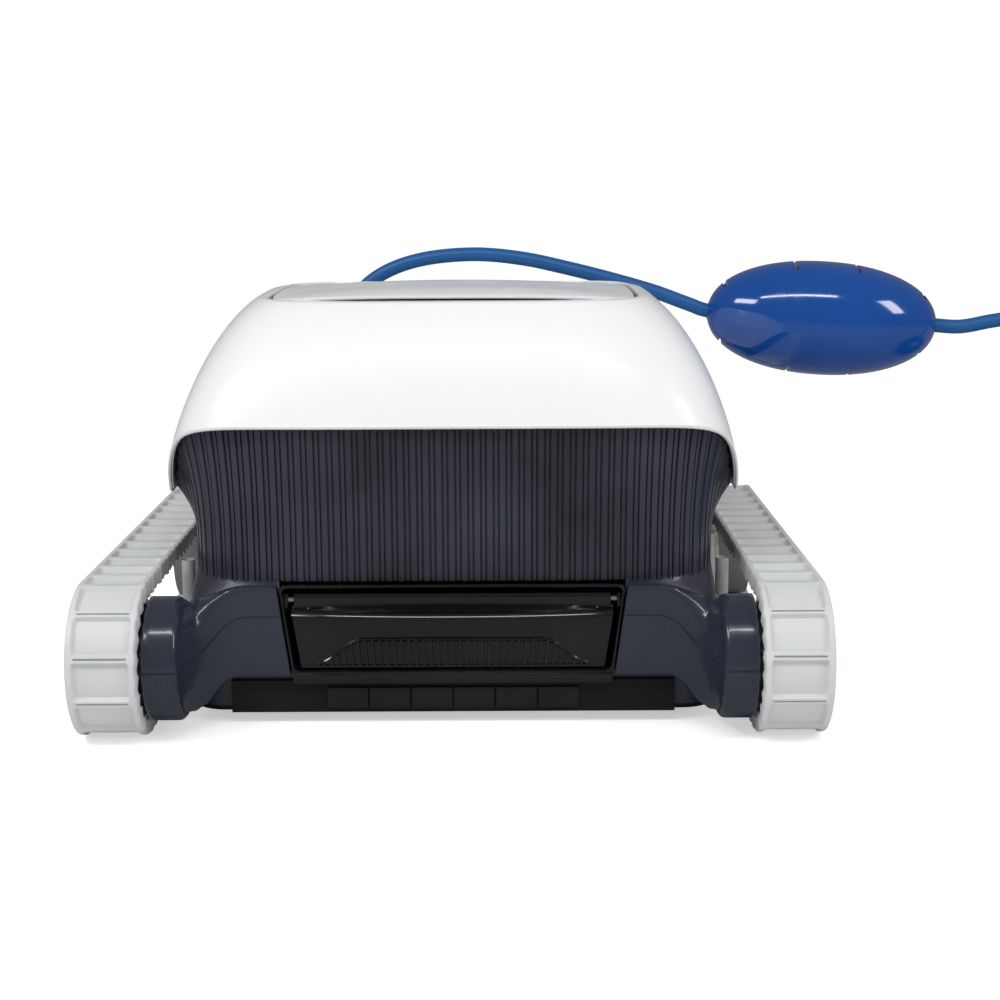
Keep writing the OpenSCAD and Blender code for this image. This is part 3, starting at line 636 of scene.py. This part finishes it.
def make_arm(name, side, end):
    """One wheel arm: flat panel beside the recess, a scooped neck, and the round drum beside the track."""
    slant = (RECESS_X[1] - RECESS_X[0]) / (RECESS_Z[1] - RECESS_Z[0])
    xs = ([None, 100.0, 106.0] + [NECK_X[0] + (NECK_X[1] - NECK_X[0]) * math.sin(math.pi / 2 * i / 18)
                                  for i in range(19)]
          + [NECK_X[1] + 4 * (1 - math.cos(math.pi / 2 * i / 6)) for i in range(1, 7)]
          + [149.1, 153.0, 157.0, 160.5, 161.2, 161.7, 162.0])
    backs = [1 - i / 8 for i in range(9)]
    count = len(ARM_VS) + len(backs)

    def point(u, v):
        k, j = round(u * (len(xs) - 1)), round(v * count) % count
        x = xs[k] if k else 97.0
        front, back, top, low, square, line = arm_station(x)
        if j < len(ARM_VS):
            w = ARM_VS[j]
            w = w * line / LINE_V if w < LINE_V else line + (w - LINE_V) * (1 - line) / (1 - LINE_V)
        else:
            w = backs[j - len(ARM_VS)]
        reach = (1 - abs(2 * w - 1) ** square) ** (1 / square)
        drum = square < 2.01
        mid = ARM_Y if drum else (front + back) / 2
        if j < len(ARM_VS):
            on_line = abs(ARM_VS[j] - LINE_V) < 0.006
            y = mid + (front - mid) * reach - (0.5 if on_line else 0.0)
        else:
            y = max(mid - (front - mid if drum else mid - back) * reach, back)
        z = low + (top - low) * w
        if k == 0:
            x = RECESS_X[0] + slant * (z - RECESS_Z[0]) + 0.5 if end < 0 else 97.0
        return Vector((side * x, end * y, z))

    bm = bmesh.new()
    grid_surface(bm, point, len(xs) - 1, count)
    bmesh.ops.holes_fill(bm, edges=[e for e in bm.edges if e.is_boundary])
    return finish_piece(bm, name, name, sharp=40)


for side_name, side in (("left", -1), ("right", 1)):
    make_arm("arm_front_" + side_name, side, -1)
    make_arm("arm_rear_" + side_name, side, 1)

# ------------------------------------------------------------------ drain end


def rounded_trapezoid(grow, corner, steps=6):
    """Outline of the recess, x and z, with rounded corners."""
    foot, brow = RECESS_X[0] + grow, RECESS_X[1] + grow - 0.3
    low, high = RECESS_Z[0] + 0.4 - grow, RECESS_Z[1] + grow - 0.3
    corners = [(-foot, low), (foot, low), (brow, high), (-brow, high)]
    out = []
    for i, c in enumerate(corners):
        here, before, after = Vector(c), Vector(corners[i - 1]), Vector(corners[(i + 1) % 4])
        a, b = here + (before - here).normalized() * corner, here + (after - here).normalized() * corner
        for k in range(steps + 1):
            t = k / steps
            out.append(a * (1 - t) ** 2 + here * 2 * t * (1 - t) + b * t * t)
    return out


def make_recess():
    """Open tray behind the drain flap."""
    rows = [(-130.8, 0.0), (-131.8, -0.3), (-132.0, -0.9), (-131.7, -1.4), (-130.5, -1.6), (-120.0, -1.7),
            (-100.5, -2.0), (-98.9, -3.2), (-98.5, -5.0)]
    outline = {g: rounded_trapezoid(g, 4.5) for _, g in rows}
    count = len(outline[0.0])

    def point(u, v):
        y, g = rows[round(v * (len(rows) - 1))]
        p = outline[g][round(u * count) % count]
        return Vector((p.x, y, p.y))

    bm = bmesh.new()
    grid_surface(bm, point, count, len(rows) - 1)
    back = [e for e in bm.edges if e.is_boundary and e.verts[0].co.y > -99]
    bmesh.ops.holes_fill(bm, edges=back)
    for side in (-1, 1):
        inner, outer = sorted((side * 89.5, side * 92.5))
        block(bm, (inner, -126.5, 64.5), (outer, -112, 73), 0.8)
    # Black strip across the tub wall below the recess: painted shade, a dark sheet that stands in for the
    # shade falling under the recess.
    block(bm, (-87.5, -131.9, 23.5), (87.5, -130.6, 29), 0.3)
    return finish_piece(bm, "recess_tray", "recess_housing", sharp=45)


make_recess()


FLAP_HINGE = (-124.0, 69.5)     # y and z of its pin


def flap_lip(x):
    """How far the grip stands out at x: an even bow that dies away before both ends."""
    return 139.0 - (1 - math.sqrt(max(0.0, 1 - (x / 88.0) ** 2 * 0.55))) * 24.0


def make_drain_flap():
    """Drain flap: bowed grip, plain field, and a bell-shaped patch of upright ribs."""
    low, high, foot, brow = 31.6, 66.0, 83.0, 88.4
    pitch, n = 4.12, 21
    xs = [i * pitch + d for i in range(-n, n + 1) for d in (-1.0, -0.75, 0.75, 1.0)]
    half = xs[-1]
    field = 8

    def bell(x):
        return low + 2.6 + 13.7 * (1 - smooth((abs(x) - 50) / 28))

    def heights(x):
        top = bell(x)
        foot_z = low + 1.4
        rows = [low, low + 0.5, low + 1.1]
        rows += [foot_z + (top - 0.4 - foot_z) * i / field for i in range(field + 1)]
        return rows + [top, top + 0.7, top + 1.0, 52.0, 56.0, 59.0, 61.0]

    rows = len(heights(0))

    def point(u, v):
        x, k = xs[round(u * (len(xs) - 1))], round(v * (rows - 1))
        z = heights(x)[k]
        rib = abs((x + pitch / 2) % pitch - pitch / 2) < 0.9
        y = -127.9
        if 2 < k < 4 + field - 1 and abs(x) < 77:
            y = -127.9 if rib else -126.4
        elif k in (3 + field, 4 + field) and abs(x) < 79:
            y = -128.5
        stretch = (foot + (brow - foot) * (z - low) / (high - low)) / half
        return Vector((x * stretch, y, z))

    bm = bmesh.new()
    grid_surface(bm, point, len(xs) - 1, rows - 1, closed=False)
    rim = [e for e in bm.edges if e.is_boundary]
    back = bmesh.ops.extrude_edge_only(bm, edges=rim)["geom"]
    moved = [g for g in back if isinstance(g, bmesh.types.BMVert)]
    for v in moved:
        v.co.y = -125.0
    bmesh.ops.holes_fill(bm, edges=[e for e in bm.edges if e.is_boundary])
    add_grip(bm)
    add_barrel(bm, 3.6, 166, (0, *FLAP_HINGE))
    block(bm, (-86.5, -127.6, 64.5), (86.5, -122.5, 73.2), 0.7)
    return finish_piece(bm, "drain_flap_panel", "drain_flap", sharp=38)


def add_grip(bm):
    """The bowed grip along the flap's top, with a rolled front edge."""
    root = 99
    section = [(root, 60.6), (1.2, 60.7), (0.4, 60.9), (0.05, 61.3), (0.0, 61.6), (0.12, 61.85), (1.5, 63.75),
               (1.8, 63.95), (2.6, 64.2), (5.0, 64.8), (root, 66.4)]      # set back from the lip, height
    span_x = 87.5

    def point(u, v):
        x = span_x * math.sin((u - 0.5) * math.pi)
        back, z = section[round(v * (len(section) - 1))]
        out = max(127.0, flap_lip(x) - back)
        return Vector((x, -out, z))

    grid_surface(bm, point, 72, len(section) - 1, closed=False)


make_drain_flap()


def make_wipers():
    """Six soft tiles that sweep the floor."""
    bm = bmesh.new()
    for i in range(6):
        x = (i - 2.5) * 23.2
        block(bm, (x - 11.3, -129, 8.5), (x + 11.3, -127, 20.5), 0.55)
    return finish_piece(bm, "wiper_tiles", "wiper_flaps")


make_wipers()

# ------------------------------------------------------------------ tracks

BAR_COUNT = 36
BELT_R, BELT_IN = 41.5, 34.0
BELT_X = (163.0, 200.0)
BELT_MID_R = 36.1
BELT_LEN = 4 * ARM_Y + math.tau * BELT_MID_R
POCKET = 2.7


def belt_place(s, lift):
    """Point of the belt loop at run s; lift is the distance from the loop's wheel centres' line."""
    quarter = math.pi * BELT_MID_R
    s %= BELT_LEN
    if s < 2 * ARM_Y:
        return ARM_Y - s, ARM_Z + lift
    s -= 2 * ARM_Y
    if s < quarter:
        a = math.pi / 2 + s / BELT_MID_R
        return -ARM_Y + lift * math.cos(a), ARM_Z + lift * math.sin(a)
    s -= quarter
    if s < 2 * ARM_Y:
        return -ARM_Y + s, ARM_Z - lift
    a = -math.pi / 2 + (s - 2 * ARM_Y) / BELT_MID_R
    return ARM_Y + lift * math.cos(a), ARM_Z + lift * math.sin(a)


def pocket_depth(a, x, pitch):
    """Depth of the tread at a from a bar's middle and x across: rounded pockets with sloping walls."""
    px, pa = abs(x - (BELT_X[0] + BELT_X[1]) / 2), pitch / 2 - abs(a)
    half_x, half_a, corner = 15.2, pitch / 2 - 1.5, 2.2
    qx, qa = px - (half_x - corner), pa - (half_a - corner)
    inside = math.hypot(max(qx, 0), max(qa, 0)) + min(max(qx, qa), 0) - corner
    depth = POCKET * smooth(-inside / 1.2)
    if abs(a) < 0.4 and px < 13.5:
        depth += 1.5
    return depth


def make_track(name, side):
    """Moulded belt: cross bars with a fine groove, rounded pockets, and teeth inside."""
    pitch = BELT_LEN / BAR_COUNT
    marks = [-0.5, -0.35, 0.35, 0.5, 1.1, 1.5, 1.9, 2.3, 2.7, 4.0, 7.0, pitch / 2]
    marks += [pitch - m for m in reversed(marks[4:-1])]
    outer = [0.0, 0.5, 1.4, 3.2, 3.7, 4.1, 4.5, 5.4, 9.0, 14.0, 18.5]
    outer += [37 - x for x in reversed(outer[:-1])]
    inner = [37.0, 30.0, 18.5, 6.2, 6.0, 0.6, 0.0]
    edge_drop = {0.0: 1.5, 0.5: 0.35}
    ring = len(outer) + len(inner)

    def point(u, v):
        k = round(u * BAR_COUNT * len(marks))
        bar, m = divmod(k, len(marks))
        s = bar * pitch + marks[m]
        j = round(v * ring) % ring
        if j < len(outer):
            x = outer[j]
            from_bar = min(marks[m], pitch - marks[m])
            lift = BELT_R - pocket_depth(from_bar, BELT_X[0] + x, pitch) - edge_drop.get(min(x, 37 - x), 0.0)
        else:
            x = inner[j - len(outer)]
            tooth = (s % (pitch / 2)) < pitch / 4
            lift = BELT_IN + 0.6 - (2.4 if tooth and x < 6.1 else 0.0)
        if x < 0.7:
            x += 0.7 * (0.5 - 0.5 * math.cos(2 * math.tau * s / pitch))
        y, z = belt_place(s, lift)
        return Vector((side * (BELT_X[0] + x), y, max(0.0, z)))

    bm = bmesh.new()
    grid_surface(bm, point, BAR_COUNT * len(marks), ring)
    return finish_piece(bm, name + "_belt", name, sharp=42)


make_track("track_left", -1)
make_track("track_right", 1)

# ------------------------------------------------------------------ lid

LID_X, LID_Y, LID_MID = 104.6, 80.9, -0.9
LID_Z, LID_EDGE, LID_CROWN = 223.0, 3.0, 8.0
LID_LIFT = (4.8, 6.3)          # how far the top and the underside rise at the front
LID_HINGE = (64.0, 221.5)      # y and z of its pin


def make_lid():
    """Thin lid, crowned both ways, with its front edge clear of the hood and two hinge barrels underneath."""
    top = [0.1, 0.2, 0.3, 0.4, 0.5, 0.6, 0.7, 0.8, 0.87, 0.92, 0.95, 0.97]
    edge = [(0.985, 0.12), (0.995, 0.5), (1.0, 1.1), (1.0, 2.2), (0.997, 2.8)]
    under = [0.99, 0.9, 0.7, 0.4]
    rows = [(k, 0.0) for k in top] + edge + [(k, LID_EDGE) for k in under]      # share of the outline, drop
    count = 192

    def point(u, v):
        t = math.tau * round(u * count) / count
        k, drop = rows[round(v * (len(rows) - 1))]
        r = oval_r(LID_X, LID_Y, 6 if math.sin(t) > 0 else 5.5, t) * k
        x, y = r * math.cos(t), r * math.sin(t)
        crown = LID_CROWN * (1 - (y / (LID_Y + 1)) ** 2) * (1 - 0.6 * (x / LID_X) ** 2)
        rise = smooth((-y - 15) / 60) * max(0.0, 1 - (x / LID_X) ** 4)
        z = LID_Z + LID_EDGE + crown - drop + LID_LIFT[0] * rise
        if drop > 1.0:
            thickness = LID_EDGE + crown + (LID_LIFT[0] - LID_LIFT[1]) * rise
            z = LID_Z + LID_LIFT[1] * rise + thickness * (LID_EDGE - drop) / LID_EDGE
        return Vector((x, y + LID_MID, z))

    bm = bmesh.new()
    grid_surface(bm, point, count, len(rows) - 1)
    bmesh.ops.holes_fill(bm, edges=[e for e in bm.edges if e.is_boundary])
    for side in (-1, 1):
        add_barrel(bm, 3.2, 14.5, (side * 63.25, *LID_HINGE))
    return finish_piece(bm, "lid_panel", "lid", sharp=45)


make_lid()

# ------------------------------------------------------------------ float

FLOAT_FROM, FLOAT_TO = Vector((166, 99, 207)), Vector((308, 92, 198))
FLOAT_HALF, FLOAT_R = 74.5, 37.0


def make_float(name, s):
    """Half of the hollow float, with short drain slots above and below."""
    mid = (FLOAT_FROM + FLOAT_TO) / 2
    along = (FLOAT_TO - FLOAT_FROM).normalized() * s
    up = (Vector((0, 0, 1)) - along * along.z).normalized()
    side = along.cross(up)
    bands = (20.0, 64.5)
    steps = sorted([FLOAT_HALF * math.sin(math.pi / 2 * i / 22) for i in range(22)]
                   + [b + d for b in bands for d in (-1.2, -0.9, 0.9, 1.2)] + [73.8])
    count = 120

    def point(u, v):
        i = round(v * len(steps))
        t = math.tau * round(u * count) / count
        if i == len(steps):
            a, r = 73.8, 4.9
        else:
            a = steps[i]
            r = FLOAT_R * (1 - (a / FLOAT_HALF) ** 2.15) ** (1 / 2.15)
        arc = min(abs(t), abs(t - math.tau), abs(t - math.pi))
        if arc < math.radians(27.1) and any(abs(a - b) < 1.0 for b in bands):
            r -= 4.5
        return mid + along * a + (up * math.cos(t) + side * math.sin(t)) * max(4.9, r)

    bm = bmesh.new()
    grid_surface(bm, point, count, len(steps))
    bmesh.ops.remove_doubles(bm, verts=bm.verts[:], dist=1e-3)
    return finish_piece(bm, name + "_shell", name, sharp=35)


FLOAT_SHELLS = [make_float("float_left", -1), make_float("float_right", 1)]

# ------------------------------------------------------------------ side covers

POST_TOP = 78.0


def make_side_cover(name):
    """The cover's frame shape, with its two posts ending under the track's upper run."""
    source = frame["nodes"][name]
    bm = bmesh.new()
    bm.from_mesh(source.data)
    bmesh.ops.transform(bm, matrix=Matrix.Scale(1 / MM, 4) @ source.matrix_world, verts=bm.verts[:])
    bmesh.ops.bisect_plane(bm, geom=bm.verts[:] + bm.edges[:] + bm.faces[:], plane_co=(0, 0, POST_TOP),
                           plane_no=(0, 0, 1), clear_outer=True)
    bmesh.ops.holes_fill(bm, edges=[e for e in bm.edges if e.is_boundary])
    piece = finish_piece(bm, name + "_panel", name, sharp=30)
    soften(piece, 0.6)
    return piece


make_side_cover("side_cover_left")
make_side_cover("side_cover_right")

# ------------------------------------------------------------------ pieces that keep their frame shape


def dress(node):
    """Gives a node that keeps its frame shape its material."""
    obj = frame["nodes"][node]
    obj.data.materials.clear()
    obj.data.materials.append(MATERIALS[SLOTS[node]])


for name in SLOTS:
    if not frame["nodes"][name].hide_render:
        dress(name)

# ------------------------------------------------------------------ cable

ROUTE = [
    (-78, 126, 206), (-64, 124, 222), (-50, 122, 232), (-32, 120, 239), (-10, 117, 243),
    (16, 114, 244), (44, 111, 241), (72, 108, 235), (100, 105, 228), (128, 102, 220),
    (150, 100, 212), (166, 99, 207), (200, 97, 205), (237, 95, 203), (274, 94, 200), (308, 92, 198),
    (328, 91, 197), (350, 90, 201), (372, 89, 203), (390, 86, 197), (403, 80, 181),
    (409, 66, 160), (410, 44, 134), (410, 26, 106), (410, 15, 79), (410, 18, 55),
    (410, 32, 39), (409, 51, 33), (409, 70, 32.2),
]
TAIL = [(629, 70, 4.6), (629, 50, 5.2), (628.5, 30, 6.5), (627.5, 12, 8), (627, -2, 9)]
CABLE_D = 9.2
COIL_MID = Vector((519, 70, 0))
COIL_R = (62.9, 110.0)
COIL_LAYERS = 4
LAYER_TURNS = 5.125


def eased(points, parts=5):
    """A smooth curve through given points."""
    pts = [Vector(p) for p in points]
    pts = [2 * pts[0] - pts[1]] + pts + [2 * pts[-1] - pts[-2]]
    out = []
    for a, b, c, d in zip(pts, pts[1:], pts[2:], pts[3:]):
        for i in range(parts):
            t = i / parts
            out.append(0.5 * (2 * b + (c - a) * t + (2 * a - 5 * b + 4 * c - d) * t * t
                              + (3 * b - a - 3 * c + d) * t ** 3))
    return out + [pts[-2]]


def coil_points():
    """Turns that spiral in on one layer and out on the next, from the top layer down."""
    per_turn = 36
    steps = round(COIL_LAYERS * LAYER_TURNS * per_turn)
    out = []
    for i in range(steps + 1):
        turn = i / per_turn
        layer = min(COIL_LAYERS - 1, int(turn / LAYER_TURNS + 1e-9))
        part = turn / LAYER_TURNS - layer
        inwards = part if layer % 2 == 0 else 1 - part
        r = COIL_R[1] + (COIL_R[0] - COIL_R[1]) * inwards
        drop = smooth(part * LAYER_TURNS / 0.4) if layer else 1.0
        z = CABLE_D * (COIL_LAYERS - 0.5 - layer + (1 - drop))
        a = math.pi - math.tau * turn
        out.append(COIL_MID + Vector((r * math.cos(a), r * math.sin(a), z)))
    return out


def make_cable():
    path = eased(ROUTE)[:-1] + coil_points() + eased(TAIL)[1:]
    curve = bpy.data.curves.new("cable", "CURVE")
    curve.dimensions = "3D"
    curve.bevel_depth = CABLE_D / 2 * MM
    curve.bevel_resolution = 4
    curve.use_fill_caps = True
    spline = curve.splines.new("POLY")
    spline.points.add(len(path) - 1)
    for p, co in zip(spline.points, path):
        p.co = (*(co * MM), 1.0)
    piece = bpy.data.objects.new("floating_cable", curve)
    bpy.context.collection.objects.link(piece)
    curve.materials.append(MATERIALS["cable_blue"])
    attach(piece, "chassis")
    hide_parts("cable", "cable_coil")


make_cable()

# ------------------------------------------------------------------ floor and light


def make_floor():
    bm = bmesh.new()
    bmesh.ops.create_grid(bm, x_segments=1, y_segments=1, size=6.0)
    bmesh.ops.translate(bm, vec=(0, 2.0, -0.0004), verts=bm.verts[:])
    mesh = bpy.data.meshes.new("floor")
    bm.to_mesh(mesh)
    bm.free()
    floor = bpy.data.objects.new("floor", mesh)
    bpy.context.collection.objects.link(floor)
    mesh.materials.append(floor_material())


def floor_material():
    """White paper floor that glossy surfaces see darker, as flags round a product table make it."""
    mat, nodes, link, shader, _ = new_material("floor white")
    shader.inputs["Base Color"].default_value = (0.9, 0.9, 0.9, 1)
    shader.inputs["Roughness"].default_value = 0.9
    shader.inputs["Specular IOR Level"].default_value = 0.1
    grey = nodes.new("ShaderNodeBsdfDiffuse")
    grey.inputs["Color"].default_value = (0.3, 0.3, 0.31, 1)
    path = nodes.new("ShaderNodeLightPath")
    mix = nodes.new("ShaderNodeMixShader")
    link(path.outputs["Is Glossy Ray"], mix.inputs["Fac"])
    link(shader.outputs[0], mix.inputs[1])
    link(grey.outputs[0], mix.inputs[2])
    glow = nodes.new("ShaderNodeEmission")
    fill = map_node(nodes, 0.0, 1.0, 0.0, 0.5)
    link(path.outputs["Is Camera Ray"], fill.inputs["Value"])
    link(fill.outputs["Result"], glow.inputs["Strength"])
    both = nodes.new("ShaderNodeAddShader")
    link(mix.outputs[0], both.inputs[0])
    link(glow.outputs[0], both.inputs[1])
    link(both.outputs[0], nodes["Material Output"].inputs["Surface"])
    return mat


def area_light(name, place_at, look_at, size, power, colour=(1, 1, 1)):
    data = bpy.data.lights.new(name, "AREA")
    data.shape = "RECTANGLE"
    data.size, data.size_y = size
    data.energy = power
    data.color = colour
    light = bpy.data.objects.new(name, data)
    light.location = place_at
    light.rotation_euler = (Vector(look_at) - Vector(place_at)).to_track_quat("-Z", "Y").to_euler()
    bpy.context.collection.objects.link(light)


def light_studio():
    world = bpy.data.worlds.new("studio")
    bpy.context.scene.world = world
    world.use_nodes = True
    nodes, link = world.node_tree.nodes, world.node_tree.links.new
    sky = nodes["Background"]
    path = nodes.new("ShaderNodeLightPath")
    seen = map_node(nodes, 0.0, 1.0, 0.6, 1.0)
    link(path.outputs["Is Camera Ray"], seen.inputs["Value"])
    dim = map_node(nodes, 0.0, 1.0, 1.0, 0.28)
    link(path.outputs["Is Glossy Ray"], dim.inputs["Value"])
    strength = nodes.new("ShaderNodeMath")
    strength.operation = "MULTIPLY"
    link(seen.outputs["Result"], strength.inputs[0])
    link(dim.outputs["Result"], strength.inputs[1])
    link(strength.outputs[0], sky.inputs["Strength"])
    sky.inputs["Color"].default_value = (1, 1, 1, 1)
    area_light("key_left", (-0.95, -0.75, 1.15), (0.1, 0, 0.15), (0.75, 0.28), 6)
    area_light("key_right", (1.25, -0.75, 0.95), (0.15, 0, 0.15), (0.3, 0.6), 4.5)
    area_light("top_front", (0.0, -0.9, 1.35), (0, -0.1, 0.1), (1.1, 0.1), 4.5)
    bpy.context.scene.view_settings.view_transform = "Standard"


make_floor()
light_studio()
